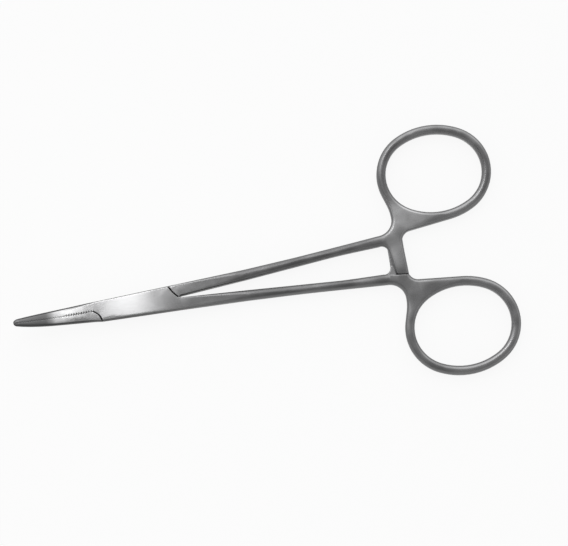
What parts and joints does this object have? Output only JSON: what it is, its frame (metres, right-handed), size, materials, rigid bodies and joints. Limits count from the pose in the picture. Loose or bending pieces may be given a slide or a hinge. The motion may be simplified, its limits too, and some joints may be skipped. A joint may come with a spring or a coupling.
{
  "type": "hemostat forceps",
  "caption": "Curved locking forceps with cross-serrated jaws, a pinned box lock, slim shanks, a toothed ratchet and two finger rings.",
  "frame": {"origin": "on the pin axis at the back face of the box lock, which is the plane that the closed forceps lies on", "axes": "+X along the instrument from the pin to the finger rings, +Y towards the ring of the tongue half, +Z out of the front face, towards which the jaws curve"},
  "size_m": [0.1238, 0.0636, 0.0075],
  "materials": {
    "satin_steel": "satin",
    "pin_steel": "satin"
  },
  "bodies": {
    "box_half": {"box_half": "satin_steel", "box_lock_pin": "pin_steel"},
    "tongue_half": {"tongue_half": "satin_steel"}
  },
  "joints": [
    {"name": "box_lock_hinge", "type": "hinge", "parent": "box_half", "child": "tongue_half", "pos_m": [0, 0, 0.0017], "axis": [0, 0, 1], "range_deg": [0, 50]}
  ]
}
